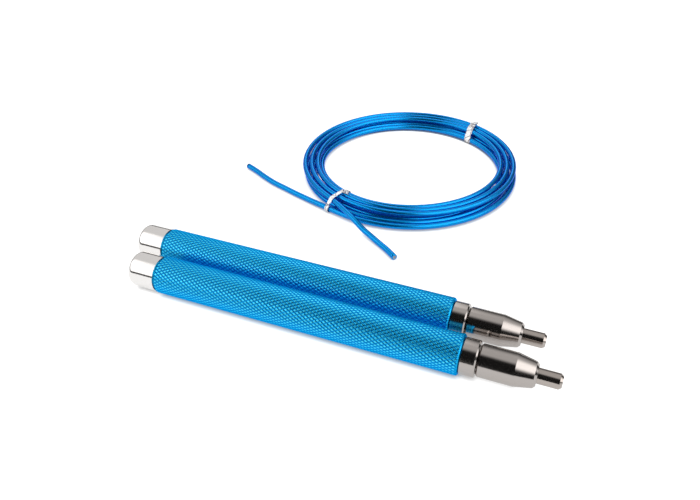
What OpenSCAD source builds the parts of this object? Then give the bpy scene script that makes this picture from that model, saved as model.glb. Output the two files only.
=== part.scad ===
// Speed jump rope laid out for sale: two handles side by side and a coiled coated steel cable.
// Each handle is a knurled tube with an end cap, a collar that houses two ball bearings, and a
// spinning head that grips the cable between three balls and a cone until its plunger is pressed.

/* [Handle] */
// Outside diameter of the grip tube, over the knurl
tube_d = 16; // [15:0.1:20]
// Wall thickness of the grip tube
tube_wall = 1.5; // [1.3:0.1:1.5]
// Length of the grip tube
tube_len = 131; // [90:1:170]
// Outside diameter of the end cap
cap_d = 15.3; // [14:0.1:16]
// Length of the end cap that shows
cap_len = 13.8; // [10:0.1:20]
// Radius of the end cap's rounded edge
cap_round = 2.8; // [1:0.1:4]
// Outside diameter of the collar
collar_d = 14.2; // [13.6:0.1:15]
// Length of the collar that shows
collar_len = 6.2; // [6:0.1:10]

/* [Spinning head] */
// Outside diameter of the head's straight part
head_d = 12.7; // [12.4:0.1:14]
// Length of the head's straight part
head_len = 13.4; // [13:0.1:18]
// Length of the head's tapered nose
nose_len = 7.8; // [6:0.1:12]
// Diameter of the nose at its front face
nose_d = 9.6; // [8.4:0.1:12]
// Gap between the collar and the head
head_gap = 0.4; // [0.3:0.1:1]
// Diameter of the release plunger
plunger_d = 6; // [5.6:0.1:6]
// How far the plunger stands out of the nose
plunger_reach = 8.9; // [4:0.1:12]
// Diameter of the hole that takes the cable
cable_hole_d = 3.1; // [2.9:0.05:3.2]

/* [Cable] */
// Outside diameter of the coated cable
cable_d = 2.8; // [2.4:0.1:2.8]
// Radius of the outermost loop from side to side, at the middle of the cable
coil_r = 58.8; // [55:0.1:65]
// How much larger that radius is from front to back
coil_oval = 2.2; // [0:0.1:3]
// Distance between neighbouring loops of one layer
loop_pitch = 3.5; // [3.5:0.1:4.5]
// Height from the lower layer of loops to the upper one
layer_step = 3.3; // [3.3:0.1:4]
// How far the upper layer lies behind the lower one
layer_shift = 4; // [0:0.1:4]

/* [Layout] */
// Distance between the two handles' axes
handle_spacing = 19.1; // [17:0.1:40]
// How far the right handle lies in front of the left one
stagger = 8.9; // [0:0.1:20]

/* [Hidden] */
$fn = 96;
hands = ["right", "left"];
pieces = [
    "grip_tube", "end_cap", "collar",
    "front_bearing_outer_ring", "front_bearing_inner_ring", "front_bearing_balls", "front_bearing_cage",
    "back_bearing_outer_ring", "back_bearing_inner_ring", "back_bearing_balls", "back_bearing_cage",
    "bearing_spacer", "spindle", "lock_nut",
    "head", "release_plunger", "grip_balls", "plunger_spring"
];
cable_pieces = ["cable_coil", "cable_left_tail", "cable_right_tail", "near_twist_tie", "far_twist_tie"];

// Small gap between pieces that are pressed or screwed together
fit = 0.02;
// Running gap between the plunger and the nose
slide_gap = 0.05;
// Width of a broken edge, of the nose's chamfer and of the plunger tip's chamfer
edge = 0.5;
nose_chamfer = 0.9;
tip_chamfer = 1;
tip_chamfer_depth = 0.75;

// Places along a handle, measured from the tube's end at the cap
collar_front = tube_len + collar_len;
head_back = collar_front + head_gap;
shoulder = head_back + head_len;
nose_front = shoulder + nose_len;
tip = nose_front + plunger_reach;
handle_len = cap_len + tip;

// Ball bearing of 5 x 11 x 4 mm
bearing_w = 4;
bearing_r = 5.5;
spindle_r = 2.5;
race_r = 4;
bearing_ball_r = 0.9;
ball_play = 0.06;
ball_count = 8;
outer_land_r = 4.65;
inner_land_r = 3.35;
cage_inside_r = 3.6;
cage_outside_r = 4.4;
cage_back = 1.5;
cage_front = 3.4;
spacer_len = 6;
bearing_recess = 0.5;
front_bearing = collar_front - bearing_recess - bearing_w;
back_bearing = front_bearing - spacer_len - bearing_w;

// Spigots that go into the tube
spigot_r = tube_d / 2 - tube_wall - fit;
cap_spigot = 14;
cap_wall = 2;
cap_neck = 0.6;
collar_spigot = 17;
rib_hole_r = 4.5;

// Spindle, its nut and its flange
hole_r = cable_hole_d / 2;
boss_r = 3.3;
flange_r = 4.9;
flange_back = head_back + 0.4;
flange_front = flange_back + 2;
pocket_r = 3;
pocket_depth = 1.4;
nut_across_flats = 7.5;
nut_len = 3;
thread_end = 1.7;

// Gripping cone, plunger and balls inside the head
plunger_r = plunger_d / 2;
cone_front = shoulder + 0.6;
cone_front_r = plunger_r + 0.13;
cone_back_r = 4.6;
ball_place = cone_front - 4.1;
grip_ball_r = 1;
grip_ball_count = 3;
grip_ball_ring_r = hole_r + 0.02 + grip_ball_r;
window_r = grip_ball_r + 0.06;
collar_of_plunger_r = 3.7;
plunger_back = ball_place - 3.1;
plunger_step = ball_place - 1.5;
narrow_bore_back = ball_place + 2.1;
wide_bore_r = hole_r + 0.3;

// Plunger spring
spring_wire_r = 0.25;
spring_r = 2.6;
spring_turns = 5;
spring_rings = 8;
spring_seat = 0.03;

// Coil of cable: it winds inwards, climbs in the half turn where it reverses, and winds outwards
loop_rings = 24;
coil_rings = 143;
turns = coil_rings / loop_rings;
coil_x = -8;
coil_y = 131;
coil_start = 252;
tie_thickness = 0.5;
coil_z = cable_d / 2 + tie_thickness + 0.1;
climb_from = -0.25;
climb_over = 0.5;
shift_from = -0.26;
shift_over = 0.24;

// Routes of the cable's two free ends, from each bare end towards the coil
left_tail_route = [[-92, 100, 1.4], [-85, 96.5, 1.4], [-78, 92.5, 1.4], [-70, 88.5, 1.4], [-62, 85.5, 1.4],
    [-54, 82.5, 1.4], [-47, 80, 1.5], [-40, 77.5, 1.7], [-34, 75.5, 1.9]];
right_tail_route = [[12.5, 48, 1.4], [7, 52.5, 1.4], [2, 56, 1.4], [-3, 59, 2], [-8.5, 62, 3],
    [-13.5, 65, 4.5], [-19, 69, 5.2], [-25, 73.5, 5.3], [-32, 78.5, 5.3]];

// Twist ties round the bundle of loops. A stub's foot is measured out from the coil's radius and up from
// the highest strand.
tie_clear = 0.7;
near_tie_angle = 246;
near_tie_width = 2.4;
near_stub_foot = [-8, 2.2];
near_stub_len = 5;
near_stub_lean = -80;
far_tie_angle = 67;
far_tie_width = 3.4;
far_stub_foot = [2.5, 2.2];
far_stub_len = 3.5;
far_stub_lean = 60;
stub_twist = 540;
stub_width = 1.6;
stub_thickness = 0.7;

function unit(v) = v / norm(v);

function eased(x) = let (c = min(1, max(0, x))) c * c * (3 - 2 * c);

// Middle of the cable after t turns of the coil
function coil_point(t) =
    let (past = t - turns / 2)
    let (r = coil_r - loop_pitch * min(t, turns - t))
    let (angle = coil_start + 360 * t)
    let (back = layer_shift * eased((past - shift_from) / shift_over))
    let (up = layer_step * eased((past - climb_from) / climb_over))
    [coil_x + r * cos(angle), coil_y + (r + coil_oval) * sin(angle) + back, coil_z + up];

// Direction of the cable there, towards the coil's end
function along_coil(t) =
    let (a = coil_start + 360 * t)
    unit([-coil_r * sin(a), (coil_r + coil_oval) * cos(a), 0]);
function coil_path() = concat(
    [coil_point(0) - cable_d * along_coil(0)],
    [for (i = [0:coil_rings]) coil_point(i / loop_rings)],
    [coil_point(turns) + cable_d * along_coil(turns)]);

function left_tail_path() = concat(left_tail_route, [coil_point(0) - cable_d * along_coil(0)]);
function right_tail_path() = concat(right_tail_route, [coil_point(turns) + cable_d * along_coil(turns)]);

function spring_path() =
    let (low = flange_front - pocket_depth + spring_wire_r + spring_seat)
    let (high = plunger_back - spring_wire_r - spring_seat)
    let (count = spring_turns * spring_rings)
    [for (i = [0:count])
        let (a = 360 * i / spring_rings)
        [spring_r * cos(a), spring_r * sin(a), low + (high - low) * i / count]];

// Length of a path, and the least gap between parts of it that lie more than a third of a turn apart
function path_length(path, i = 1) =
    i >= len(path) ? 0 : norm(path[i] - path[i - 1]) + path_length(path, i + 1);
function least_gap(path, d, per_turn) = min([
    for (i = [0:len(path) - 1])
        for (j = [i + floor(per_turn / 3):1:len(path) - 1])
            norm(path[i] - path[j]) - d]);

// One ring of points round a path, square to it
function ring(p, along, r, sides) =
    let (side = unit(cross([0, 0, 1], along)))
    let (up = cross(along, side))
    [for (k = [0:sides - 1]) p + r * (cos(360 * k / sides) * side + sin(360 * k / sides) * up)];

// Round tube swept along a path, in triangles
module tube(path, r, sides) {
    last = len(path) - 1;
    points = [for (i = [0:last])
        each ring(path[i], unit(path[min(i + 1, last)] - path[max(i - 1, 0)]), r, sides)];
    walls = [for (i = [0:last - 1]) for (k = [0:sides - 1])
        let (a = i * sides + k, b = i * sides + (k + 1) % sides)
        each [[a, a + sides, b], [b, a + sides, b + sides]]];
    start = [for (k = [1:sides - 2]) [0, k, k + 1]];
    finish = [for (k = [1:sides - 2]) [last * sides, last * sides + k + 1, last * sides + k]];
    polyhedron(points, concat(walls, start, finish));
}

// Turned piece, from its outline in radius and distance along the handle
module turned(outline) {
    rotate_extrude() polygon(outline);
}

module balls(count, ring_r, at, r) {
    for (i = [0:count - 1])
        rotate(360 * i / count) translate([ring_r, 0, at]) sphere(r);
}

module in_handle(hand) {
    ahead = hand == "right" ? stagger / 2 : -stagger / 2;
    aside = hand == "right" ? -handle_spacing / 2 : handle_spacing / 2;
    translate([ahead + cap_len - handle_len / 2, aside, tube_d / 2]) rotate([0, 90, 0]) children();
}

module grip_tube() {
    outer = tube_d / 2;
    inner = outer - tube_wall;
    color("#0a78be")
        turned([[inner, 0], [outer - edge, 0], [outer, edge], [outer, tube_len - edge],
            [outer - edge, tube_len], [inner, tube_len]]);
}

module end_cap() {
    outer = cap_d / 2;
    color("#e6e8ea") rotate_extrude() difference() {
        union() {
            translate([0, cap_round - cap_len]) square([outer, cap_len - cap_round - cap_neck]);
            translate([0, -cap_len]) square([outer - cap_round, cap_len]);
            translate([outer - cap_round, cap_round - cap_len]) circle(cap_round);
            square([spigot_r, cap_spigot]);
            translate([0, -cap_neck]) square([spigot_r, cap_neck]);
        }
        translate([0, cap_wall - cap_len]) square([spigot_r - cap_wall, cap_len + cap_spigot]);
        translate([-cap_d, -cap_d]) square([cap_d, cap_d * 4]);
    }
}

module collar() {
    outer = collar_d / 2;
    color("#6a6a6e")
        turned([[bearing_r, tube_len - collar_spigot], [spigot_r - edge, tube_len - collar_spigot],
            [spigot_r, tube_len - collar_spigot + edge], [spigot_r, tube_len], [outer - edge, tube_len],
            [outer, tube_len + edge], [outer, collar_front - edge], [outer - edge, collar_front],
            [bearing_r, collar_front], [bearing_r, front_bearing], [rib_hole_r, front_bearing],
            [rib_hole_r, back_bearing + bearing_w], [bearing_r, back_bearing + bearing_w]]);
}

module bearing_outer_ring(at) {
    color("#c8ccd0") translate([0, 0, at]) rotate_extrude() difference() {
        translate([outer_land_r, 0]) square([bearing_r - fit - outer_land_r, bearing_w]);
        translate([race_r, bearing_w / 2]) circle(bearing_ball_r + ball_play);
    }
}

module bearing_inner_ring(at) {
    color("#c8ccd0") translate([0, 0, at]) rotate_extrude() difference() {
        translate([spindle_r, 0]) square([inner_land_r - spindle_r, bearing_w]);
        translate([race_r, bearing_w / 2]) circle(bearing_ball_r + ball_play);
    }
}

module bearing_balls(at) {
    color("#dfe3e6") balls(ball_count, race_r, at + bearing_w / 2, bearing_ball_r);
}

module bearing_cage(at) {
    color("#b58b3c") difference() {
        translate([0, 0, at]) rotate_extrude()
            translate([cage_inside_r, cage_back])
                square([cage_outside_r - cage_inside_r, cage_front - cage_back]);
        balls(ball_count, race_r, at + bearing_w / 2, bearing_ball_r + ball_play);
    }
}

module bearing_spacer() {
    low = back_bearing + bearing_w;
    color("#c8ccd0")
        turned([[spindle_r, low], [boss_r, low], [boss_r, front_bearing], [spindle_r, front_bearing]]);
}

module spindle() {
    low = back_bearing - nut_len - thread_end;
    shaft_r = spindle_r - fit;
    bearing_stop = front_bearing + bearing_w;
    pocket = flange_front - pocket_depth;
    color("#b4b8bc")
        turned([[hole_r, low], [shaft_r - edge, low], [shaft_r, low + edge], [shaft_r, bearing_stop],
            [boss_r, bearing_stop], [boss_r, flange_back], [flange_r, flange_back],
            [flange_r, flange_front], [pocket_r, flange_front], [pocket_r, pocket], [hole_r, pocket]]);
}

module lock_nut() {
    color("#d0d2d4") translate([0, 0, back_bearing - nut_len]) difference() {
        cylinder(h = nut_len, d = nut_across_flats / cos(30), $fn = 6);
        translate([0, 0, -1]) cylinder(h = nut_len + 2, r = spindle_r);
    }
}

module head() {
    outer = head_d / 2;
    nose = nose_d / 2;
    guide = plunger_r + slide_gap;
    nose_edge = nose + nose_chamfer * (outer - nose) / nose_len;
    color("#6a6a6e")
        turned([[flange_r + fit, head_back], [outer - edge, head_back], [outer, head_back + edge],
            [outer, shoulder], [nose_edge, nose_front - nose_chamfer], [nose_edge - nose_chamfer, nose_front],
            [guide + edge / 2, nose_front], [guide, nose_front - edge / 2], [guide, cone_front],
            [cone_front_r, cone_front], [cone_back_r, flange_front], [flange_r + fit, flange_front]]);
}

module release_plunger() {
    lip = edge * 0.75;
    color("#d4d6d8") difference() {
        turned([[wide_bore_r, plunger_back], [collar_of_plunger_r, plunger_back],
            [collar_of_plunger_r, plunger_step - lip], [collar_of_plunger_r - lip, plunger_step],
            [plunger_r, plunger_step], [plunger_r, tip - tip_chamfer], [plunger_r - tip_chamfer_depth, tip],
            [hole_r + lip, tip], [hole_r, tip - lip], [hole_r, narrow_bore_back],
            [wide_bore_r, narrow_bore_back]]);
        for (i = [0:grip_ball_count - 1])
            rotate(360 * i / grip_ball_count) translate([0, 0, ball_place])
                rotate([0, 90, 0]) cylinder(h = head_d, r = window_r);
    }
}

module grip_balls() {
    color("#dfe3e6") balls(grip_ball_count, grip_ball_ring_r, ball_place, grip_ball_r);
}

module plunger_spring() {
    color("#9a9ea2") tube(spring_path(), spring_wire_r, 6);
}

module handle_piece(piece) {
    if (piece == "grip_tube") grip_tube();
    if (piece == "end_cap") end_cap();
    if (piece == "collar") collar();
    if (piece == "front_bearing_outer_ring") bearing_outer_ring(front_bearing);
    if (piece == "front_bearing_inner_ring") bearing_inner_ring(front_bearing);
    if (piece == "front_bearing_balls") bearing_balls(front_bearing);
    if (piece == "front_bearing_cage") bearing_cage(front_bearing);
    if (piece == "back_bearing_outer_ring") bearing_outer_ring(back_bearing);
    if (piece == "back_bearing_inner_ring") bearing_inner_ring(back_bearing);
    if (piece == "back_bearing_balls") bearing_balls(back_bearing);
    if (piece == "back_bearing_cage") bearing_cage(back_bearing);
    if (piece == "bearing_spacer") bearing_spacer();
    if (piece == "spindle") spindle();
    if (piece == "lock_nut") lock_nut();
    if (piece == "head") head();
    if (piece == "release_plunger") release_plunger();
    if (piece == "grip_balls") grip_balls();
    if (piece == "plunger_spring") plunger_spring();
}

module cable_coil() {
    color("#146ec8") tube(coil_path(), cable_d / 2, 6);
}

module cable_left_tail() {
    color("#146ec8") tube(left_tail_path(), cable_d / 2, 8);
}

module cable_right_tail() {
    color("#146ec8") tube(right_tail_path(), cable_d / 2, 8);
}

// Middles of the strands where a half plane from the coil's centre cuts them, as radius and height
function seen_from_centre(p, angle) =
    let (x = p.x - coil_x)
    let (y = p.y - coil_y)
    [x * cos(angle) + y * sin(angle), y * cos(angle) - x * sin(angle), p.z];
function strands_at(angle) = [
    for (path = [coil_path(), left_tail_path(), right_tail_path()])
        for (i = [1:len(path) - 1])
            let (a = seen_from_centre(path[i - 1], angle))
            let (b = seen_from_centre(path[i], angle))
            if (a.x > 0 && a.y * b.y < 0)
                let (cut = a + (b - a) * a.y / (a.y - b.y))
                [cut.x, cut.z]];
function top_of(strands) = max([for (strand = strands) strand.y]);

module bundle_outline(angle, clear, floor_z) {
    intersection() {
        hull() for (strand = strands_at(angle)) translate(strand) circle(cable_d / 2 + clear, $fn = 24);
        translate([0, floor_z]) square([coil_r * 2, coil_r]);
    }
}

// Foil tie: a flat band drawn round the bundle, with its two ends twisted together on top
module twist_tie(angle, width, stub_foot, stub_len, stub_lean) {
    foot = [coil_r, top_of(strands_at(angle))] + stub_foot;
    color("#e4e6ee") translate([coil_x, coil_y, 0]) rotate(angle) {
        rotate([90, 0, 0]) linear_extrude(width, center = true) difference() {
            bundle_outline(angle, tie_clear + tie_thickness, 0);
            bundle_outline(angle, tie_clear, tie_thickness);
        }
        translate([foot.x, 0, foot.y]) rotate([stub_lean, 0, 0])
            linear_extrude(stub_len, twist = stub_twist, slices = 24, $fn = 4)
                square([stub_width, stub_thickness], center = true);
    }
}

module near_twist_tie() {
    twist_tie(near_tie_angle, near_tie_width, near_stub_foot, near_stub_len, near_stub_lean);
}

module far_twist_tie() {
    twist_tie(far_tie_angle, far_tie_width, far_stub_foot, far_stub_len, far_stub_lean);
}

tails_length = path_length(left_tail_path()) + path_length(right_tail_path());
echo(cable_length = path_length(coil_path()) + tails_length);
echo(least_gap_of_coil = least_gap(coil_path(), cable_d, loop_rings));
echo(least_gap_of_spring = least_gap(spring_path(), 2 * spring_wire_r, spring_rings));

for (hand = hands) for (piece = pieces)
    in_handle(hand) handle_piece(piece);
cable_coil();
cable_left_tail();
cable_right_tail();
near_twist_tie();
far_twist_tie();
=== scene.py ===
# %% [markdown]
# A speed jump rope lies on a white table: two knurled blue handles with spinning metal heads, and the
# coated steel cable, coiled and tied. The CAD model comes in first as a fixed frame. Everything that
# is made here sits in that frame, in metres, so each piece already has its place.

import math

import bmesh
import bpy
import numpy as np
from mathutils import Matrix, Vector, noise


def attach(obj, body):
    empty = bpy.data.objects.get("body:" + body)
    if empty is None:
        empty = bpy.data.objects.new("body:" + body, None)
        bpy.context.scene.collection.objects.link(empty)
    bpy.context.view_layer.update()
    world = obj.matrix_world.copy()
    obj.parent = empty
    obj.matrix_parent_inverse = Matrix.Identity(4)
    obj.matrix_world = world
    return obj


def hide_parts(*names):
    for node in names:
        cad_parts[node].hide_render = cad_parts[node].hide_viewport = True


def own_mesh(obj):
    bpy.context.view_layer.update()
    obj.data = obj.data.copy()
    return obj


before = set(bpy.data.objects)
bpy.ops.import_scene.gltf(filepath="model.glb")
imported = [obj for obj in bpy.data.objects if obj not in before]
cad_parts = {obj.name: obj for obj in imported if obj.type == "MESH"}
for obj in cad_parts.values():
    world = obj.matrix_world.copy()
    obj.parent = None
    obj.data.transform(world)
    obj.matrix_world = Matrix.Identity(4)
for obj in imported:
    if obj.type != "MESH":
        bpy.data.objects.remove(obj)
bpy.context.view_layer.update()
scene = bpy.context.scene
MM = 0.001

# %% [markdown]
# The camera stands where the photo was taken from. Its place, its tilt and its focal length were
# worked out from the edges of the two handles, which are straight and of known size, so the lens
# needs no guessing and no shift. Aiming at a target would do, but the turn and the tilt are known
# here. They are two plain rotations: lean down, then swing to the left.

# %% Camera
PHOTO_WIDTH_PX = 700
FOCAL_PX = 690
SENSOR_MM = 36
CAMERA_AT_MM = (89.6, -197.4, 188.4)
SWING_DEGREES = 22
DOWN_DEGREES = 35.5

camera_data = bpy.data.cameras.new("photo_camera")
camera_data.sensor_width = SENSOR_MM
camera_data.lens = FOCAL_PX / PHOTO_WIDTH_PX * SENSOR_MM
camera = bpy.data.objects.new("photo_camera", camera_data)
scene.collection.objects.link(camera)
swing = Matrix.Rotation(math.radians(SWING_DEGREES), 3, "Z")
lean = Matrix.Rotation(math.radians(90 - DOWN_DEGREES), 3, "X")
camera.location = Vector(CAMERA_AT_MM) * MM
camera.rotation_euler = (swing @ lean).to_euler()
scene.camera = camera
print("camera: lens", round(camera_data.lens, 2), "mm")

# %% [markdown]
# The cable is one length of wire rope in a smooth coating. Its middle line is the same as in the CAD
# model: a free end, three loops that wind inwards on the table, three that wind outwards on top of
# them, and a second free end. One formula gives the loops their angle, radius and height. A drawn
# curve object would do, but a formula can be checked for loops that touch.

# %% Loops of the coil
CABLE_D = 2.8 * MM
COIL_CENTRE = (-8 * MM, 131 * MM)
COIL_R = 58.8 * MM
COIL_OVAL = 2.2 * MM
LOOP_PITCH = 3.5 * MM
COIL_Z = 2 * MM
LAYER_STEP = 3.3 * MM
LAYER_SHIFT = 4 * MM
COIL_START = 252
COIL_TURNS = 143 / 24
STEPS_PER_TURN = 72
# The change to the upper layer, in turns from the coil's middle: where it starts and how long it takes.
SHIFT_FROM, SHIFT_TURNS = -0.26, 0.24
CLIMB_FROM, CLIMB_TURNS = -0.25, 0.5


def eased(x):
    c = min(1.0, max(0.0, x))
    return c * c * (3 - 2 * c)


def coil_point(turn):
    """Middle of the cable after that many turns of the coil."""
    past = turn - COIL_TURNS / 2
    radius = COIL_R - LOOP_PITCH * min(turn, COIL_TURNS - turn)
    angle = math.radians(COIL_START + 360 * turn)
    back = LAYER_SHIFT * eased((past - SHIFT_FROM) / SHIFT_TURNS)
    up = LAYER_STEP * eased((past - CLIMB_FROM) / CLIMB_TURNS)
    return Vector((COIL_CENTRE[0] + radius * math.cos(angle),
                   COIL_CENTRE[1] + (radius + COIL_OVAL) * math.sin(angle) + back, COIL_Z + up))


coil = [coil_point(k / STEPS_PER_TURN) for k in range(round(COIL_TURNS * STEPS_PER_TURN) + 1)]
print("coil:", round(COIL_TURNS, 2), "turns in", len(coil), "points")

# %% [markdown]
# The two free ends lie as they fell, so no formula gives them. They follow points chosen along the photo,
# with a smooth curve through them. Blender's own curves could do that too. Plain code makes one list of
# points from end to end, which the tube and the ties both use.

# %% Free ends and the whole middle line
LEFT_TAIL_MM = [
    (-92, 100, 1.4), (-85, 96.5, 1.4), (-78, 92.5, 1.4), (-70, 88.5, 1.4), (-62, 85.5, 1.4),
    (-54, 82.5, 1.4), (-47, 80, 1.5), (-40, 77.5, 1.7), (-34, 75.5, 1.9)]
RIGHT_TAIL_MM = [
    (12.5, 48, 1.4), (7, 52.5, 1.4), (2, 56, 1.4), (-3, 59, 2), (-8.5, 62, 3),
    (-13.5, 65, 4.5), (-19, 69, 5.2), (-25, 73.5, 5.3), (-32, 78.5, 5.3)]
TAIL_PARTS = 4


def rounded(points, parts):
    """Curve through the points, with that many parts between two of them."""
    curve = []
    for i in range(len(points) - 1):
        p, q = points[i], points[i + 1]
        leaving = (q - points[max(i - 1, 0)]) / 2
        arriving = (points[min(i + 2, len(points) - 1)] - p) / 2
        for k in range(parts):
            x = k / parts
            curve.append((1 - x) ** 2 * ((1 + 2 * x) * p + x * leaving)
                         + x ** 2 * ((3 - 2 * x) * q + (x - 1) * arriving))
    return curve + [points[-1]]


left_tail = [Vector(p) * MM for p in LEFT_TAIL_MM]
right_tail = [Vector(p) * MM for p in RIGHT_TAIL_MM]
first = rounded(right_tail + [coil[-1], coil[-3]], TAIL_PARTS)[:-TAIL_PARTS]
last = rounded([coil[2], coil[0]] + left_tail[::-1], TAIL_PARTS)[TAIL_PARTS:]
cable_line = first[:-1] + coil[::-1] + last[1:]

# %% [markdown]
# A tube is a ring of points carried along the line. Each ring is turned square to the line, with its
# first point always towards the same side, so the tube doesn't twist. The map laid on it runs once
# round and counts metres along, which lets the material draw the wires of the rope at their real
# size. Blender's curve bevel could make the tube too, but its map would stretch with the length.

# %% Tube along a line
CABLE_SIDES = 18


def piece_from(name, vertices, faces):
    mesh = bpy.data.meshes.new(name)
    mesh.from_pydata([tuple(v) for v in vertices], [], faces)
    mesh.validate()
    made = bpy.data.objects.new(name, mesh)
    scene.collection.objects.link(made)
    return made


def tube_along(name, line, radius, sides):
    vertices = []
    reach = [0.0]
    for i, point in enumerate(line):
        along = (line[min(i + 1, len(line) - 1)] - line[max(i - 1, 0)]).normalized()
        side = Vector((0, 0, 1)).cross(along).normalized()
        up = along.cross(side)
        for k in range(sides):
            turn = 2 * math.pi * k / sides
            vertices.append(point + radius * (math.cos(turn) * side + math.sin(turn) * up))
        if i:
            reach.append(reach[-1] + (point - line[i - 1]).length)
    faces = []
    map_points = []
    for i in range(len(line) - 1):
        for k in range(sides):
            n = (k + 1) % sides
            faces.append((i * sides + k, i * sides + n, (i + 1) * sides + n, (i + 1) * sides + k))
            map_points += [(k / sides, reach[i]), ((k + 1) / sides, reach[i]),
                           ((k + 1) / sides, reach[i + 1]), (k / sides, reach[i + 1])]
    faces.append(tuple(range(sides))[::-1])
    faces.append(tuple(range((len(line) - 1) * sides, len(line) * sides)))
    map_points += [(0, 0)] * (2 * sides)
    made = piece_from(name, vertices, faces)
    made.data.uv_layers.new(name="lay")
    for loop, place in zip(made.data.uv_layers["lay"].data, map_points):
        loop.uv = place
    for face in made.data.polygons[:-2]:
        face.use_smooth = True
    return made


cable = tube_along("cable", cable_line, CABLE_D / 2, CABLE_SIDES)
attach(cable, "handles")
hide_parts("cable_coil", "cable_left_tail", "cable_right_tail")
print("cable tube:", len(cable.data.polygons), "faces")

# %% [markdown]
# Both ends of the cable are cut off square, so the bare wires show in the middle of the coating: one
# in the centre, six round it and twelve round those. A pattern in the material could draw them as
# dots. Short round stubs with a slightly domed end are better, because each one catches the light by
# itself.

# %% Cut wires in the two ends
WIRE_D = 0.36 * MM
STUB_OUT = 0.12 * MM
WIRE_SIDES = 10
# Each ring of a stub, as a share of the wire's radius and of how far the stub stands out.
STUB_RINGS = ((0.96, -1), (0.96, 0.5), (0.7, 1))


def wire_ends(name, tip, outward):
    side = Vector((0, 0, 1)).cross(outward).normalized()
    up = outward.cross(side)
    vertices = []
    faces = []
    places = [(0.0, 0.0)]
    for ring, count in ((1, 6), (2, 12)):
        places += [(ring * WIRE_D * math.cos(2 * math.pi * k / count),
                    ring * WIRE_D * math.sin(2 * math.pi * k / count)) for k in range(count)]
    for a, b in places:
        base = len(vertices)
        for share, out in STUB_RINGS:
            for k in range(WIRE_SIDES):
                turn = 2 * math.pi * k / WIRE_SIDES
                across = share * WIRE_D / 2
                vertices.append(tip + outward * (out * STUB_OUT) + side * (a + across * math.cos(turn))
                                + up * (b + across * math.sin(turn)))
        for level in range(2):
            for k in range(WIRE_SIDES):
                n = (k + 1) % WIRE_SIDES
                low = base + level * WIRE_SIDES
                faces.append((low + k, low + n, low + WIRE_SIDES + n, low + WIRE_SIDES + k))
        faces.append(tuple(base + 2 * WIRE_SIDES + k for k in range(WIRE_SIDES)))
        faces.append(tuple(base + k for k in reversed(range(WIRE_SIDES))))
    made = piece_from(name, vertices, faces)
    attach(made, "handles")
    return made


right_wires = wire_ends("cable_wires_right", cable_line[0], (cable_line[0] - cable_line[1]).normalized())
left_wires = wire_ends("cable_wires_left", cable_line[-1], (cable_line[-1] - cable_line[-2]).normalized())
print("wires:", len(right_wires.data.polygons) + len(left_wires.data.polygons), "faces")

# %% [markdown]
# Two foil twist ties hold the loops. A tie is a thin paper and foil ribbon with a wire in it, drawn
# round the bundle and twisted shut on top. A cloth simulation could wrap it, but the ribbon has to
# touch the loops just so. It follows their outline where it crosses them instead, which is a convex
# hull with round corners, and a fixed noise pattern crumples it.

# %% Where a tie crosses the loops
TIE_ROUND = CABLE_D / 2 + 0.35 * MM
TIE_FLOOR = 0.12 * MM
TIE_STEPS = 150
NEAR_TIE_DEGREES = 246
FAR_TIE_DEGREES = 67


def strands_at(degrees):
    """Middles of the loops at that angle, as distance from the coil's centre and height."""
    found = []
    c, s = math.cos(math.radians(degrees)), math.sin(math.radians(degrees))
    seen = [((p.x - COIL_CENTRE[0]) * c + (p.y - COIL_CENTRE[1]) * s,
             (p.y - COIL_CENTRE[1]) * c - (p.x - COIL_CENTRE[0]) * s, p.z) for p in cable_line]
    for a, b in zip(seen, seen[1:]):
        if a[0] > 0 and a[1] * b[1] < 0:
            share = a[1] / (a[1] - b[1])
            found.append((a[0] + share * (b[0] - a[0]), a[2] + share * (b[2] - a[2])))
    return found


def outline_round(strands, steps):
    """Closed outline round the strands: the farthest reach in each direction, spaced evenly."""
    circle = [(math.cos(2 * math.pi * k / 360), math.sin(2 * math.pi * k / 360)) for k in range(360)]
    loop = []
    for c, s in circle:
        a, b = max(strands, key=lambda p: p[0] * c + p[1] * s)
        loop.append(Vector((a + TIE_ROUND * c, max(b + TIE_ROUND * s, TIE_FLOOR))))
    loop.append(loop[0])
    reach = np.concatenate([[0], np.cumsum([(b - a).length for a, b in zip(loop, loop[1:])])])
    even = np.linspace(0, reach[-1], steps, endpoint=False)
    across = np.interp(even, reach, [p.x for p in loop])
    height = np.interp(even, reach, [p.y for p in loop])
    return list(zip(across, height))


near_outline = outline_round(strands_at(NEAR_TIE_DEGREES), TIE_STEPS)
far_outline = outline_round(strands_at(FAR_TIE_DEGREES), TIE_STEPS)
for tie, degrees in (("near", NEAR_TIE_DEGREES), ("far", FAR_TIE_DEGREES)):
    places = [(round(a / MM, 2), round(b / MM, 2)) for a, b in strands_at(degrees)]
    print("strands in the", tie, "tie, in mm:", places)

# %% [markdown]
# The ribbon of a tie is handled a lot and crumples: it has long folds, short creases and edges that
# curl up. Sculpting could do that. Noise with a fixed seed needs a few lines only and gives the same
# crumples in each run. The ribbon is a grid of points, many round the outline and a few across, and
# each point is lifted off the loops by the noise.

# %% Crumpled ribbon
RIBBON_ACROSS = 8
FOLD = 0.3 * MM
FOLD_SCALE = 2.4
CREASE = 0.2 * MM
CREASE_SCALE = 5.5
EDGE_CURL = 0.12 * MM
SWELL = 0.22
SWELL_SEED = 9
NOISE_ROUND = 3.2
NOISE_ACROSS = 1.6


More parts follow.
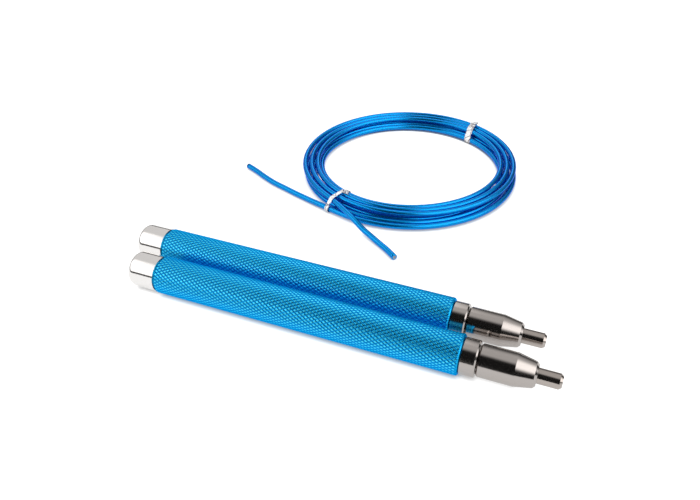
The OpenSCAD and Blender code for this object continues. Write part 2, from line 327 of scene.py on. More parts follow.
def ribbon_round(outline, width, skew, seed):
    """Points (out from the coil's centre, along the loops, up) and faces of a ribbon on the outline."""
    count = len(outline)
    bundle_middle = sum(a for a, _ in outline) / count
    points = []
    for i, (a, b) in enumerate(outline):
        before, after = outline[i - 1], outline[(i + 1) % count]
        out = Vector((after[1] - before[1], before[0] - after[0])).normalized()
        round_at = 2 * math.pi * i / count
        for k in range(RIBBON_ACROSS + 1):
            share = k / RIBBON_ACROSS - 0.5
            where = Vector((NOISE_ROUND * math.cos(round_at), NOISE_ROUND * math.sin(round_at),
                            seed + NOISE_ACROSS * share))
            swell = 1 + SWELL * noise.noise(Vector((where.x, where.y, seed + SWELL_SEED)))
            fold = FOLD * noise.noise(where * FOLD_SCALE) + CREASE * noise.noise(where * CREASE_SCALE)
            lift = max(0.0, fold + EDGE_CURL * (2 * share) ** 2)
            height = max(b + lift * out.y, TIE_FLOOR / 2)
            sideways = share * width * swell + skew * (a - bundle_middle)
            points.append(Vector((a + lift * out.x, sideways, height)))
    row = RIBBON_ACROSS + 1
    faces = []
    for i in range(count):
        here, there = i * row, (i + 1) % count * row
        faces += [(here + k, here + k + 1, there + k + 1, there + k) for k in range(RIBBON_ACROSS)]
    return points, faces


print("ribbon:", len(near_outline), "steps round,", RIBBON_ACROSS, "across")

# %% [markdown]
# The two ends of a tie are wound round each other to shut it. A Simple Deform modifier could twist
# two flat strips. The same in a formula is as short and leaves no modifier: both strips follow one
# helix, half a turn apart, and an uneven width makes them look torn off.

# %% Twisted ends of the ribbon
TWIST_STEPS = 40
TWIST_TURNS = 2
TWIST_SPREAD = 0.35 * MM
TWIST_TAPER = 0.3
TWIST_HALF_WIDTH = 0.75 * MM
RAGGED = 0.3
RAGGED_SCALE = 9


def twisted_ends(root, lean, length, seed):
    """Two short strips that wind round each other from the root, leaning along the loops."""
    leaning = math.radians(lean)
    heading = Vector((0, -math.sin(leaning), math.cos(leaning)))
    first_side = Vector((1, 0, 0))
    second_side = heading.cross(first_side)
    points = []
    faces = []
    for strand in (0, 1):
        base = len(points)
        for i in range(TWIST_STEPS + 1):
            t = i / TWIST_STEPS
            turn = 2 * math.pi * TWIST_TURNS * t + math.pi * strand
            spread = TWIST_SPREAD * (1 - TWIST_TAPER * t)
            middle = (root + heading * (length * t)
                      + spread * (math.cos(turn) * first_side + math.sin(turn) * second_side))
            flat = -math.sin(turn) * first_side + math.cos(turn) * second_side
            wide = TWIST_HALF_WIDTH * (1 + RAGGED * noise.noise(Vector((RAGGED_SCALE * t, strand, seed))))
            points += [middle - flat * wide, middle, middle + flat * wide]
        faces += [(base + 3 * i + k, base + 3 * i + k + 1, base + 3 * i + k + 4, base + 3 * i + k + 3)
                  for i in range(TWIST_STEPS) for k in range(2)]
    return points, faces


print("twisted ends:", TWIST_TURNS, "turns in", TWIST_STEPS, "steps")

# %% [markdown]
# A tie is its ribbon and its twisted ends in one mesh, turned to its place on the coil. A second
# layer of points could give the foil its thickness. A Solidify modifier does the same and closes the
# rims by itself. The near tie is narrow and neat, and the far one is wider and askew.

# %% Two ties
FOIL_T = 0.1 * MM


def foil_tie(name, angle, outline, width, skew, twist_at, twist_lean, twist_length, seed):
    points, faces = ribbon_round(outline, width, skew, seed)
    bundle_middle = sum(a for a, _ in outline) / len(outline)
    root = Vector((twist_at[0], skew * (twist_at[0] - bundle_middle), twist_at[1]))
    ends, end_faces = twisted_ends(root, twist_lean, twist_length, seed)
    faces += [tuple(v + len(points) for v in face) for face in end_faces]
    swung = Matrix.Rotation(math.radians(angle), 3, "Z")
    centre = Vector((COIL_CENTRE[0], COIL_CENTRE[1], 0))
    made = piece_from(name, [centre + swung @ p for p in points + ends], faces)
    thick = made.modifiers.new("foil thickness", "SOLIDIFY")
    thick.thickness = FOIL_T
    thick.offset = 1
    for face in made.data.polygons:
        face.use_smooth = True
    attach(made, "handles")
    return made


near_tie = foil_tie("near_tie", NEAR_TIE_DEGREES, near_outline, width=2.2 * MM, skew=0.1,
                    twist_at=(50.8 * MM, 7.4 * MM), twist_lean=-80, twist_length=5 * MM, seed=3)
far_tie = foil_tie("far_tie", FAR_TIE_DEGREES, far_outline, width=3.8 * MM, skew=0.4,
                   twist_at=(61.3 * MM, 7.4 * MM), twist_lean=60, twist_length=3.5 * MM, seed=11)
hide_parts("near_twist_tie")
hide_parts("far_twist_tie")
print("ties:", len(near_tie.data.polygons), "and", len(far_tie.data.polygons), "faces")

# %% [markdown]
# The grip is an aluminium tube with a diamond knurl: two sets of grooves, rolled in at thirty degrees
# to the axis, leave rows of small pyramids. In the photo a diamond is about 1.5 mm wide and 2.5 mm
# long. A displaced grid would need very many faces for such crisp grooves. Here each diamond is drawn
# by itself, as smaller and smaller copies of its outline that rise to a flat top, and neighbours
# share their corners at the bottom of the grooves.

# %% Diamonds of the knurl
TUBE_R = 8 * MM
TUBE_LEN = 131 * MM
KNURLS_ROUND = 34
KNURLS_LONG = 52
KNURL_DEPTH = 0.09 * MM
# Each smaller copy of a diamond's outline: its share of the whole size, and its share of the height.
KNURL_LEVELS = ((0.86, 0.1), (0.5, 0.94), (0.34, 1.0))
HANDLE_Y = {"right": -9.55 * MM, "left": 9.55 * MM}
TUBE_X = {"right": -72.5 * MM, "left": -81.4 * MM}
AXIS_Z = 8 * MM


def add_diamonds(work, hand, crest):
    """Covers the tube with diamonds, row by row, a little past both ends."""
    half_angle = math.pi / KNURLS_ROUND
    half_length = TUBE_LEN / KNURLS_LONG / 2
    rows = 2 * KNURLS_LONG

    def point(turns, row, height):
        r = TUBE_R - KNURL_DEPTH * (1 - height)
        angle = turns * half_angle
        made = work.verts.new((TUBE_X[hand] + row * half_length, HANDLE_Y[hand] + r * math.cos(angle),
                               AXIS_Z + r * math.sin(angle)))
        made[crest] = height
        return made

    corners = {}
    for row in range(-1, rows + 2):
        for i in range(KNURLS_ROUND):
            turns = 2 * i + (row + 1) % 2
            corners[row, turns] = point(turns, row, 0.0)
    all_round = 2 * KNURLS_ROUND
    for row in range(rows + 1):
        for i in range(KNURLS_ROUND):
            turns = 2 * i + row % 2
            ring = [corners[row, (turns + 1) % all_round], corners[row + 1, turns],
                    corners[row, (turns - 1) % all_round], corners[row - 1, turns]]
            for size, height in KNURL_LEVELS:
                inner = [point(turns + size, row, height), point(turns, row + size, height),
                         point(turns - size, row, height), point(turns, row - size, height)]
                for k in range(4):
                    n = (k + 1) % 4
                    work.faces.new((ring[n], ring[k], inner[k], inner[n]))
                ring = inner
            work.faces.new(ring[::-1])


print("knurl diamond:", round(2 * math.pi * TUBE_R / KNURLS_ROUND / MM, 2), "by",
      round(TUBE_LEN / KNURLS_LONG / MM, 2), "mm")

# %% [markdown]
# The tube is cut square and chamfered at both ends, and its bore takes the spigots of the cap and the
# collar. A boolean could cut the knurl off, but it is slow on so many small faces and can leave stray
# ones. Here a plane cuts the mesh, and the open edge is pulled out into the chamfer, the end face and
# the bore.

# %% Chamfer, end faces and bore of the tube
TUBE_BORE_R = 6.5 * MM
TUBE_CHAMFER = 0.5 * MM
# Crest value of the chamfer, end faces and bore, which sets their place between the painted shade and the
# painted highlight of the knurl's colour ramp.
END_CREST = 0.6
CUT_TOLERANCE = 1e-7


def close_tube(work, hand, crest):
    """Cuts the knurl square at both ends, then adds the chamfer, the end face and the bore."""
    bore_rings = []
    middle = TUBE_X[hand] + TUBE_LEN / 2
    for way in (-1, 1):
        end_x = middle + way * TUBE_LEN / 2
        everything = work.verts[:] + work.edges[:] + work.faces[:]
        bmesh.ops.bisect_plane(work, geom=everything, dist=CUT_TOLERANCE,
                               plane_co=(end_x - way * TUBE_CHAMFER, 0, 0), plane_no=(way, 0, 0),
                               clear_outer=True)
        ring = [e for e in work.edges if e.is_boundary and (e.verts[0].co.x - middle) * way > 0]
        for radius in (TUBE_R - TUBE_CHAMFER, TUBE_BORE_R):
            grown = bmesh.ops.extrude_edge_only(work, edges=ring)["geom"]
            ring = [g for g in grown if isinstance(g, bmesh.types.BMEdge) and g.is_boundary]
            for vert in {v for e in ring for v in e.verts}:
                out = Vector((0, vert.co.y - HANDLE_Y[hand], vert.co.z - AXIS_Z)).normalized()
                vert.co = Vector((end_x, HANDLE_Y[hand], AXIS_Z)) + out * radius
                vert[crest] = END_CREST
        bore_rings += ring
    bmesh.ops.bridge_loops(work, edges=bore_rings)
    bmesh.ops.recalc_face_normals(work, faces=work.faces[:])
    # Blender pulls out edges in no fixed order, so the faces are sorted to be the same in each run.
    by_place = sorted(work.faces, key=lambda f: tuple(round(c, 7) for c in f.calc_center_median()))
    for i, face in enumerate(by_place):
        face.index = i
    work.faces.sort()


print("chamfer:", TUBE_CHAMFER / MM, "mm, bore:", 2 * TUBE_BORE_R / MM, "mm")

# %% [markdown]
# Both grips come from the same two steps. A linked copy of one mesh would save memory, but every
# piece sits in the frame with its points where they really are, so each grip is made in its own
# place.

# %% Two grips
def knurled_tube(hand):
    work = bmesh.new()
    # Each point keeps its height in the knurl as a crest value, and the material paints shade and
    # highlights by it.
    crest = work.verts.layers.float.new("crest")
    add_diamonds(work, hand, crest)
    close_tube(work, hand, crest)
    mesh = bpy.data.meshes.new(hand + "_knurled_grip")
    work.to_mesh(mesh)
    work.free()
    made = bpy.data.objects.new(hand + "_knurled_grip", mesh)
    scene.collection.objects.link(made)
    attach(made, "handles")
    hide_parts(hand + "_grip_tube")
    return made


grips = {hand: knurled_tube(hand) for hand in ("right", "left")}
print("knurl:", len(grips["right"].data.polygons), "faces on each grip")

# %% [markdown]
# The spring behind each plunger shortens when the plunger is pressed. It is hidden in the head, but the
# head is a real mechanism, so the spring is drawn as a wire helix. A screw modifier could wind it. The
# tube from the cable's cell does the same and is already there.

# %% Plunger springs
SPRING_R = 2.6 * MM
SPRING_WIRE_R = 0.25 * MM
SPRING_TURNS = 5
SPRING_STEPS = 24
SPRING_SIDES = 10
SPRING_FROM = 138.6 * MM
SPRING_TO = 144.4 * MM
SPRING_SEAT = 0.03 * MM

springs = {}
for hand in ("right", "left"):
    low = TUBE_X[hand] + SPRING_FROM + SPRING_WIRE_R + SPRING_SEAT
    high = TUBE_X[hand] + SPRING_TO - SPRING_WIRE_R - SPRING_SEAT
    count = SPRING_TURNS * SPRING_STEPS
    helix = []
    for i in range(count + 1):
        angle = 2 * math.pi * i / SPRING_STEPS
        helix.append(Vector((low + (high - low) * i / count, HANDLE_Y[hand] + SPRING_R * math.sin(angle),
                             AXIS_Z - SPRING_R * math.cos(angle))))
    spring = tube_along(hand + "_spring", helix, SPRING_WIRE_R, SPRING_SIDES)
    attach(spring, hand + "_head")
    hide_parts(hand + "_plunger_spring")
    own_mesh(spring)
    springs[hand] = spring
print("springs:", len(springs), "of", len(springs["right"].data.polygons), "faces")

# %% [markdown]
# Colours are written as sRGB hex values, the way a paint chart or a picture gives them. Blender's
# shaders count in linear light, so one function converts them. A second small function adds a node,
# sets its values and makes its links, which keeps each material short enough to read.

# %% Colour and node helpers
def linear(hex_colour):
    channels = [int(hex_colour[i:i + 2], 16) / 255 for i in (1, 3, 5)]
    return tuple(c / 12.92 if c <= 0.04045 else ((c + 0.055) / 1.055) ** 2.4 for c in channels) + (1.0,)


def add(tree, kind, settings=None, inputs=None):
    node = tree.nodes.new(kind)
    for name, value in (settings or {}).items():
        setattr(node, name, value)
    for name, value in (inputs or {}).items():
        if isinstance(value, bpy.types.NodeSocket):
            tree.links.new(value, node.inputs[name])
        else:
            node.inputs[name].default_value = value
    return node


def new_material(name):
    material = bpy.data.materials.new(name)
    material.use_nodes = True
    material.node_tree.nodes.clear()
    return material, material.node_tree


def give(material, *pieces):
    for piece in pieces:
        piece.data.materials.clear()
        piece.data.materials.append(material)


print("mid grey #808080 in linear light:", round(linear("#808080")[0], 3))

# %% [markdown]
# Anodised aluminium is bare metal under a thin dyed oxide layer. The eye gets a metal whose reflections
# are all blue, a little soft because the tube was etched before it was dyed. The colour is painted lighter
# on the crests of the knurl, as painted highlights, and darker in the grooves, as painted shade. A noise
# pattern couldn't know where the crests are, so the mesh carries a crest value and a colour ramp reads it.
# The etch is really finer than 0.1 mm and is drawn at 0.5 mm, so that it shows.

# %% Blue anodised aluminium
GRAIN_MM = 0.5
anodised, tree = new_material("blue_anodised_aluminium_knurled")
height = add(tree, "ShaderNodeAttribute", {"attribute_name": "crest"})
place = add(tree, "ShaderNodeTexCoord")
etch = add(tree, "ShaderNodeTexNoise", None,
           {"Vector": place.outputs["Object"], "Scale": 1 / (GRAIN_MM * MM), "Detail": 3.0})
# Painted shade and highlight: dark blue in the grooves, pale cyan on the crests.
blue = add(tree, "ShaderNodeValToRGB", None, {"Fac": height.outputs["Fac"]})
blue.color_ramp.elements[0].color = linear("#0070c6")
blue.color_ramp.elements[1].color = linear("#54dcff")
blue.color_ramp.elements.new(0.88).color = linear("#26c6fa")
softness = add(tree, "ShaderNodeMapRange", None,
               {"Value": etch.outputs["Fac"], "To Min": 0.26, "To Max": 0.34})
surface = add(tree, "ShaderNodeBsdfPrincipled", None,
              {"Base Color": blue.outputs["Color"], "Metallic": 1.0,
               "Roughness": softness.outputs["Result"], "Specular Tint": linear("#58c4ff")})
add(tree, "ShaderNodeOutputMaterial", None, {"Surface": surface.outputs["BSDF"]})
give(anodised, *grips.values())
print("made", anodised.name)

# %% [markdown]
# The end caps are turned from aluminium and polished. They mirror the studio, with a faint haze of
# turning lines that run round the axis. Grooves in the mesh would be far too fine, so a wave pattern
# along the axis drives a slight bump and the gloss. The lines are really about 0.1 mm apart and are
# drawn 0.25 mm apart, so that some of them show.

# %% Polished aluminium
TURNING_MM = 0.25
# Blender's wave pattern repeats every pi / 10 at a scale of 1.
TURNING_SCALE = math.pi / 10 / (TURNING_MM * MM)
polished, tree = new_material("polished_aluminium")
place = add(tree, "ShaderNodeTexCoord")
rings = add(tree, "ShaderNodeTexWave", {"wave_type": "BANDS", "bands_direction": "X"},
            {"Vector": place.outputs["Object"], "Scale": TURNING_SCALE,
             "Distortion": 1.5, "Detail": 2.0})
lines = add(tree, "ShaderNodeBump", None,
            {"Height": rings.outputs["Fac"], "Strength": 0.05, "Distance": 0.02 * MM})
haze = add(tree, "ShaderNodeMapRange", None,
           {"Value": rings.outputs["Fac"], "To Min": 0.07, "To Max": 0.12})
round_axis = add(tree, "ShaderNodeTangent", {"direction_type": "RADIAL", "axis": "X"})
surface = add(tree, "ShaderNodeBsdfPrincipled", None,
              {"Base Color": linear("#eceae8"), "Metallic": 1.0, "Roughness": haze.outputs["Result"],
               "Anisotropic": 0.4, "Tangent": round_axis.outputs["Tangent"],
               "Normal": lines.outputs["Normal"]})
add(tree, "ShaderNodeOutputMaterial", None, {"Surface": surface.outputs["BSDF"]})
give(polished, *[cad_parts[hand + "_end_cap"] for hand in ("right", "left")])
print("made", polished.name)

# %% [markdown]
# The collar and the head are turned steel with a dark nickel plate, often called gunmetal. The plate
# keeps the mirror of the turned surface but takes out half of the light, with a warm tint. So it is
# made like the caps, with a darker base colour and softer lines.

# %% Gunmetal plate
gunmetal, tree = new_material("gunmetal_nickel_plate")
place = add(tree, "ShaderNodeTexCoord")
rings = add(tree, "ShaderNodeTexWave", {"wave_type": "BANDS", "bands_direction": "X"},
            {"Vector": place.outputs["Object"], "Scale": TURNING_SCALE,
             "Distortion": 2.0, "Detail": 2.0})
lines = add(tree, "ShaderNodeBump", None,
            {"Height": rings.outputs["Fac"], "Strength": 0.04, "Distance": 0.02 * MM})
haze = add(tree, "ShaderNodeMapRange", None,
           {"Value": rings.outputs["Fac"], "To Min": 0.1, "To Max": 0.16})
round_axis = add(tree, "ShaderNodeTangent", {"direction_type": "RADIAL", "axis": "X"})
surface = add(tree, "ShaderNodeBsdfPrincipled", None,
              {"Base Color": linear("#b4aeaa"), "Metallic": 1.0, "Roughness": haze.outputs["Result"],
               "Anisotropic": 0.3, "Tangent": round_axis.outputs["Tangent"],
               "Normal": lines.outputs["Normal"]})
add(tree, "ShaderNodeOutputMaterial", None, {"Surface": surface.outputs["BSDF"]})
for hand in ("right", "left"):
    give(gunmetal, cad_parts[hand + "_collar"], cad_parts[hand + "_head"])
print("made", gunmetal.name)

# %% [markdown]
# Plunger, spindle, nut and spacer are bright turned steel, and so are the cut wires of the cable.
# Bearings are ground and polished, their cages are pressed brass, and the springs are drawn wire.
# Each could have a cell of its own, but they differ only in colour, roughness and the size of their
# marks in millimetres, so one loop makes all four. The marks are coarser than real ones, so that they
# show.

# %% Steel and brass of the inner pieces
METALS = {
    "turned_bright_steel": ("#b4aca6", 0.14, 0.2),
    "polished_bearing_steel": ("#d8dadc", 0.08, 0.1),
    "pressed_brass": ("#c79a4a", 0.28, 0.6),
    "drawn_spring_steel": ("#a4a8ac", 0.24, 0.3)}
metals = {}
for name, (colour, roughness, mark_mm) in METALS.items():
    metals[name], tree = new_material(name)
    place = add(tree, "ShaderNodeTexCoord")
    marks = add(tree, "ShaderNodeTexNoise", None,
                {"Vector": place.outputs["Object"], "Scale": 1 / (mark_mm * MM), "Detail": 4.0})
    haze = add(tree, "ShaderNodeMapRange", None,
               {"Value": marks.outputs["Fac"], "To Min": roughness * 0.8, "To Max": roughness * 1.3})
    surface = add(tree, "ShaderNodeBsdfPrincipled", None,
                  {"Base Color": linear(colour), "Metallic": 1.0, "Roughness": haze.outputs["Result"]})
    add(tree, "ShaderNodeOutputMaterial", None, {"Surface": surface.outputs["BSDF"]})

FINISH = {
    "turned_bright_steel": ("release_plunger", "spindle", "lock_nut", "bearing_spacer"),
    "polished_bearing_steel": (
        "front_bearing_outer_ring", "front_bearing_inner_ring", "front_bearing_balls",
        "back_bearing_outer_ring", "back_bearing_inner_ring", "back_bearing_balls", "grip_balls"),
    "pressed_brass": ("front_bearing_cage", "back_bearing_cage")}
for name, pieces in FINISH.items():
    for hand in ("right", "left"):
        give(metals[name], *[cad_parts[hand + "_" + piece] for piece in pieces])
give(metals["turned_bright_steel"], right_wires, left_wires)
give(metals["drawn_spring_steel"], *springs.values())
print("made", ", ".join(metals))

# %% [markdown]
# The cable's coating is clear blue plastic over twisted wire. Light goes through it, glances off the steel
# and comes back blue, and the smooth outside adds a white gloss. A glass tube round real wires would be
# slow and noisy. One shader can hold both: a metallic base that carries the pattern of twelve wires in a
# twelve-millimetre lay, and a clear coat that keeps its own smooth surface. The wires show as a slight
# bump, with painted shade in the gaps between them and painted highlights on their crowns.

# %% Coated wire rope
WIRES_ROUND = 12
LAY_LENGTH_MM = 12
coated, tree = new_material("blue_coated_wire_rope")
lay = add(tree, "ShaderNodeUVMap", {"uv_map": "lay"})
parts = add(tree, "ShaderNodeSeparateXYZ", None, {"Vector": lay.outputs["UV"]})
along = add(tree, "ShaderNodeMath", {"operation": "MULTIPLY"},
            {0: parts.outputs["Y"], 1: 1 / (LAY_LENGTH_MM * MM)})
twisted = add(tree, "ShaderNodeMath", {"operation": "ADD"}, {0: along.outputs[0], 1: parts.outputs["X"]})
phase = add(tree, "ShaderNodeMath", {"operation": "MULTIPLY"},
            {0: twisted.outputs[0], 1: 2 * math.pi * WIRES_ROUND})
crown = add(tree, "ShaderNodeMath", {"operation": "SINE"}, {0: phase.outputs[0]})
wire = add(tree, "ShaderNodeMapRange", None,
           {"Value": crown.outputs[0], "From Min": -1.0, "From Max": 1.0})
# Painted shade and highlight of the wires: darker blue between them, light blue on their crowns.
blue = add(tree, "ShaderNodeValToRGB", None, {"Fac": wire.outputs["Result"]})
blue.color_ramp.elements[0].color = linear("#0058aa")
blue.color_ramp.elements[1].color = linear("#0cb0f8")
relief = add(tree, "ShaderNodeBump", None,
             {"Height": wire.outputs["Result"], "Strength": 0.08, "Distance": 0.15 * MM})
surface = add(tree, "ShaderNodeBsdfPrincipled", None,
              {"Base Color": blue.outputs["Color"], "Metallic": 0.85, "Roughness": 0.2,
               "Specular Tint": linear("#1e90ff"), "Normal": relief.outputs["Normal"],
               "Coat Weight": 0.12, "Coat Roughness": 0.05})
add(tree, "ShaderNodeOutputMaterial", None, {"Surface": surface.outputs["BSDF"]})
give(coated, cable)
print("made", coated.name)

# %% [markdown]
# The ties are white paper with a thin metal foil. Crumpling leaves white facets a few millimetres wide,
# with creases between them that lie in shade. More points in the mesh could fold each facet. A cell
# pattern is enough for such small pieces: it is zero on the border between two cells, where a colour ramp
# paints the crease dark as painted shade and a bump sinks it.

# %% Crumpled foil
CRUMPLE_MM = 4
foil, tree = new_material("white_foil_paper")
place = add(tree, "ShaderNodeTexCoord")
patches = add(tree, "ShaderNodeTexVoronoi", {"feature": "DISTANCE_TO_EDGE"},
              {"Vector": place.outputs["Object"], "Scale": 1 / (CRUMPLE_MM * MM)})
# Painted shade in the creases: grey-lilac on the cell borders, white on the facets.
shade = add(tree, "ShaderNodeValToRGB", None, {"Fac": patches.outputs["Distance"]})
shade.color_ramp.elements[0].color = linear("#54485c")
shade.color_ramp.elements[1].color = linear("#ffffff")
shade.color_ramp.elements[1].position = 0.07
creases = add(tree, "ShaderNodeBump", None,
              {"Height": patches.outputs["Distance"], "Strength": 0.5, "Distance": 0.6 * MM})
surface = add(tree, "ShaderNodeBsdfPrincipled", None,
              {"Base Color": shade.outputs["Color"], "Metallic": 0.3, "Roughness": 0.3,
               "Normal": creases.outputs["Normal"]})
add(tree, "ShaderNodeOutputMaterial", None, {"Surface": surface.outputs["BSDF"]})
give(foil, near_tie, far_tie)
print("made", foil.name)

# %% [markdown]
# The table and the paper behind it are white. A strong lamp could burn the floor out to white, but it
# would burn out the metal too. So the floor gives the camera part of its white as a plain glow and
# part as lit paper, and a soft shadow stays while the rest is pure white. Mirrors see a weaker glow,
# the same all over.

# %% White floor
FLOOR_HALF = 3
floor = piece_from("floor", [(-FLOOR_HALF, -FLOOR_HALF, 0), (FLOOR_HALF, -FLOOR_HALF, 0),
                             (FLOOR_HALF, FLOOR_HALF, 0), (-FLOOR_HALF, FLOOR_HALF, 0)], [(0, 1, 2, 3)])
print("floor:", 2 * FLOOR_HALF, "m wide")

# %% [markdown]
# The upper loops stand out beyond the lower ones at the back and on the left, and shade the table
# there. A fixed direction could be typed in, but the coil itself can be measured: all round it, the
# distance from the lower outer loop to the upper one counts as an arrow, and the arrows are summed.

# %% Which way the upper loops overhang
overhang = Vector()
for degrees in range(0, 360, 5):
    outwards = Vector((math.cos(math.radians(degrees)), math.sin(math.radians(degrees)), 0))
    lower = coil_point((degrees - COIL_START) / 360 % 1)
    upper = coil_point(COIL_TURNS - (COIL_START + 360 * COIL_TURNS - degrees) / 360 % 1)
    overhang += (upper - lower).dot(outwards) * outwards
overhang_way = overhang.normalized()
print("overhang towards", [round(c, 3) for c in overhang_way])

# %% [markdown]
# The real shadow is narrow and deep. Lamps alone would give a broad pale one, because the glow washes it
# out. So the glow dies away in the last millimetres before a piece touches the table. Hardly any light
# gets in between the loops, so the ring under the coil has no glow at all, and a second, wider ring has
# none where the upper loops overhang. The sizes of both rings were matched.

# %% Where the table glows
CONTACT_MM = 2
RING_EDGE = 1 * MM
SIDE_EDGE = 6 * MM
# Each ring has its centre's y, its middle radius, its half width, and where it starts on overhang_way.
COIL_SHADOW_RINGS = (
    (COIL_CENTRE[1], 53.5 * MM, 3.8 * MM, -90 * MM),
    (COIL_CENTRE[1] + LAYER_SHIFT, 55.8 * MM, 5.6 * MM, 6 * MM))
paper, tree = new_material("white_table")
# Ambient occlusion cuts the glow near every contact: a painted contact shadow on the table.
clear_of = add(tree, "ShaderNodeAmbientOcclusion", None, {"Distance": CONTACT_MM * MM})
here = add(tree, "ShaderNodeNewGeometry")
open_glow = clear_of.outputs["AO"]
# The rings paint shadow under the coil by switching the glow off there.
for centre_y, ring_r, half_width, starts in COIL_SHADOW_RINGS:
    offset = add(tree, "ShaderNodeVectorMath", {"operation": "SUBTRACT"},
                 {0: here.outputs["Position"], 1: (COIL_CENTRE[0], centre_y, 0)})
    reach = add(tree, "ShaderNodeVectorMath", {"operation": "LENGTH"}, {0: offset.outputs["Vector"]})
    off_ring = add(tree, "ShaderNodeMath", {"operation": "SUBTRACT"},
                   {0: reach.outputs["Value"], 1: ring_r})
    how_far = add(tree, "ShaderNodeMath", {"operation": "ABSOLUTE"}, {0: off_ring.outputs[0]})
    in_shadow_ring = add(tree, "ShaderNodeMapRange", {"interpolation_type": "SMOOTHSTEP"},
                  {"Value": how_far.outputs[0],
                   "From Min": half_width, "From Max": half_width - RING_EDGE})
    toward = add(tree, "ShaderNodeVectorMath", {"operation": "DOT_PRODUCT"},
                 {0: offset.outputs["Vector"], 1: overhang_way})
    on_side = add(tree, "ShaderNodeMapRange", {"interpolation_type": "SMOOTHSTEP"},
                  {"Value": toward.outputs["Value"], "From Min": starts, "From Max": starts + SIDE_EDGE})
    dark = add(tree, "ShaderNodeMath", {"operation": "MULTIPLY"},
               {0: in_shadow_ring.outputs["Result"], 1: on_side.outputs["Result"]})
    left_over = add(tree, "ShaderNodeMath", {"operation": "SUBTRACT"}, {0: 1.0, 1: dark.outputs[0]})
    open_glow = add(tree, "ShaderNodeMath", {"operation": "MULTIPLY"},
                    {0: open_glow, 1: left_over.outputs[0]}).outputs[0]
print("rings without glow:", len(COIL_SHADOW_RINGS))

# %% [markdown]
# One floor has to answer three kinds of rays. The camera gets the glow with its shadows, mirrors get
# an even glow, and light that bounces on to the object gets plain pale paper. Three floors that each
# hide from some rays could do it, but one material with a light path node is simpler.

# %% White of the floor
GLOW = 0.85
MIRRORED_GLOW = 0.55
ray = add(tree, "ShaderNodeLightPath")
seen = add(tree, "ShaderNodeMath", {"operation": "MAXIMUM"},
           {0: ray.outputs["Is Camera Ray"], 1: ray.outputs["Is Glossy Ray"]})
shown = add(tree, "ShaderNodeMath", {"operation": "MAXIMUM"},
            {0: seen.outputs[0], 1: ray.outputs["Is Transmission Ray"]})
more = add(tree, "ShaderNodeMath", {"operation": "MULTIPLY_ADD"},
           {0: open_glow, 1: GLOW, 2: -MIRRORED_GLOW})
strength = add(tree, "ShaderNodeMath", {"operation": "MULTIPLY_ADD"},
               {0: ray.outputs["Is Camera Ray"], 1: more.outputs[0], 2: MIRRORED_GLOW})
lit = add(tree, "ShaderNodeBsdfDiffuse", None, {"Color": linear("#c4c4c4")})
glow = add(tree, "ShaderNodeEmission", None, {"Color": linear("#ffffff"), "Strength": strength.outputs[0]})
white = add(tree, "ShaderNodeAddShader", None, {0: lit.outputs["BSDF"], 1: glow.outputs["Emission"]})
bounce = add(tree, "ShaderNodeBsdfDiffuse", None, {"Color": linear("#e7e7e7")})
mixed = add(tree, "ShaderNodeMixShader", None,
            {"Fac": shown.outputs[0], 1: bounce.outputs["BSDF"], 2: white.outputs["Shader"]})
add(tree, "ShaderNodeOutputMaterial", None, {"Surface": mixed.outputs["Shader"]})
give(paper, floor)
print("made", paper.name)

# %% [markdown]
# Shiny round metal shows the room more than the lamps. The room is read from the metal in the photo:
# a grey ceiling, a dark strip and a bright panel low at the back, a dark opening in front, a white
# wall on the left, a bright window on the right and a dark edge all round, where the table ends. Real
# walls and panels could stand there, but they would throw shadows too. So the room is painted by
# direction in the world, patch over patch, for reflections only. The camera itself sees plain white.

# %% Directions in the room
WALL_SLOPE = 1.7
world = bpy.data.worlds.new("white_studio")
world.use_nodes = True
tree = world.node_tree
tree.nodes.clear()
toward = add(tree, "ShaderNodeTexCoord")
parts = add(tree, "ShaderNodeSeparateXYZ", None, {"Vector": toward.outputs["Generated"]})
to_right, to_back, up = parts.outputs["X"], parts.outputs["Y"], parts.outputs["Z"]
wall_top = add(tree, "ShaderNodeMath", {"operation": "MULTIPLY_ADD"},
               {0: to_right, 1: WALL_SLOPE, 2: up}).outputs[0]
slanted = add(tree, "ShaderNodeMath", {"operation": "ADD"}, {0: to_back, 1: to_right}).outputs[0]
print("world:", world.name)

# %% [markdown]
# A patch of the room is a brightness and a few soft edges. An edge is a direction, with the place
# where the patch starts and the place where it is full. A gradient picture of a studio could be used
# instead, but a few numbers for each patch are easier to match to what the metal shows.

# %% Patches of the room
CEILING = 0.72
ROOM = {
    "dark strip at the back": (0.12, [(up, 0.8, 0.25), (to_back, 0.2, 0.5), (to_right, -0.5, -0.4)]),
    "panel at the back": (1.6, [(to_right, -0.1, -0.18), (to_right, -0.5, -0.4), (to_back, 0.35, 0.6),
                                (up, 0.15, 0.3)]),
    "opening in front": (0.01, [(slanted, -0.05, -0.48), (to_right, -0.45, -0.3)]),
    "wall on the left": (1.6, [(wall_top, -0.05, -0.15), (to_back, 0.1, -0.1)]),
    "window on the right": (2.2, [(to_right, 0.2, 0.3), (to_back, 0.7, 0.1), (slanted, -0.45, -0.05)]),
    "edge of the table": (0.02, [(up, 0.2, 0.12)])}
studio = CEILING
for brightness, edges in ROOM.values():
    inside = 1.0
    for direction, start, full in edges:
        edge = add(tree, "ShaderNodeMapRange", {"interpolation_type": "SMOOTHSTEP"},
                   {"Value": direction, "From Min": start, "From Max": full})
        inside = add(tree, "ShaderNodeMath", {"operation": "MULTIPLY"},
                     {0: inside, 1: edge.outputs["Result"]}).outputs[0]
    studio = add(tree, "ShaderNodeMix", {"data_type": "FLOAT"},
                 {"Factor": inside, "A": studio, "B": brightness}).outputs[0]
print("room:", ", ".join(ROOM))

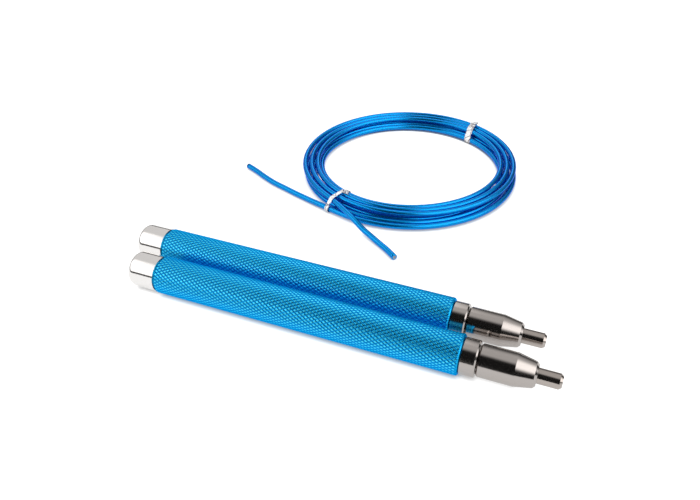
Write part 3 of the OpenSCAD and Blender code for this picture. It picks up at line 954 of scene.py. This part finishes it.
# %% [markdown]
# The world answers each kind of ray by itself, as the floor does. Mirrors get the painted room, the
# camera gets white, and all other rays get an even soft light, so the room's dark patches don't dim
# the table.

# %% World for mirrors, for light and for the camera
SOFT_LIGHT = 0.65
mirrored = add(tree, "ShaderNodeBackground", None, {"Color": linear("#fffdfc"), "Strength": studio})
soft = add(tree, "ShaderNodeBackground", None, {"Color": linear("#ffffff"), "Strength": SOFT_LIGHT})
white = add(tree, "ShaderNodeBackground", None, {"Color": linear("#ffffff"), "Strength": 1.0})
ray = add(tree, "ShaderNodeLightPath")
for_mirrors = add(tree, "ShaderNodeMixShader", None,
                  {"Fac": ray.outputs["Is Glossy Ray"], 1: soft.outputs["Background"],
                   2: mirrored.outputs["Background"]})
seen = add(tree, "ShaderNodeMath", {"operation": "MAXIMUM"},
           {0: ray.outputs["Is Camera Ray"], 1: ray.outputs["Is Transmission Ray"]})
final = add(tree, "ShaderNodeMixShader", None,
            {"Fac": seen.outputs[0], 1: for_mirrors.outputs["Shader"], 2: white.outputs["Background"]})
add(tree, "ShaderNodeOutputWorld", None, {"Surface": final.outputs["Shader"]})
scene.world = world
print("world nodes:", len(tree.nodes))

# %% [markdown]
# Two large soft lamps do the lighting: one overhead and a weaker one from the left front. A sun lamp
# would draw hard shadows. These are wide, so the shadows have no hard edge, and they are hidden from
# mirrors, which show the painted room instead.

# %% Lamps
# Each lamp has its place and its size in metres, and its power in watts.
LAMPS = {
    "overhead_softbox": ((-0.1, -0.05, 0.7), 0.6, 1.6),
    "left_softbox": ((-0.55, -0.4, 0.4), 0.4, 0.6)}
LAMPS_AIM = Vector((0, 0.05, 0))
for name, (place, size, watts) in LAMPS.items():
    lamp = bpy.data.lights.new(name, "AREA")
    lamp.size = size
    lamp.energy = watts
    holder = bpy.data.objects.new(name, lamp)
    holder.location = place
    holder.rotation_euler = (LAMPS_AIM - Vector(place)).to_track_quat("-Z", "Y").to_euler()
    holder.visible_glossy = False
    scene.collection.objects.link(holder)
scene.view_settings.view_transform = "Standard"
print("lamps:", ", ".join(LAMPS))
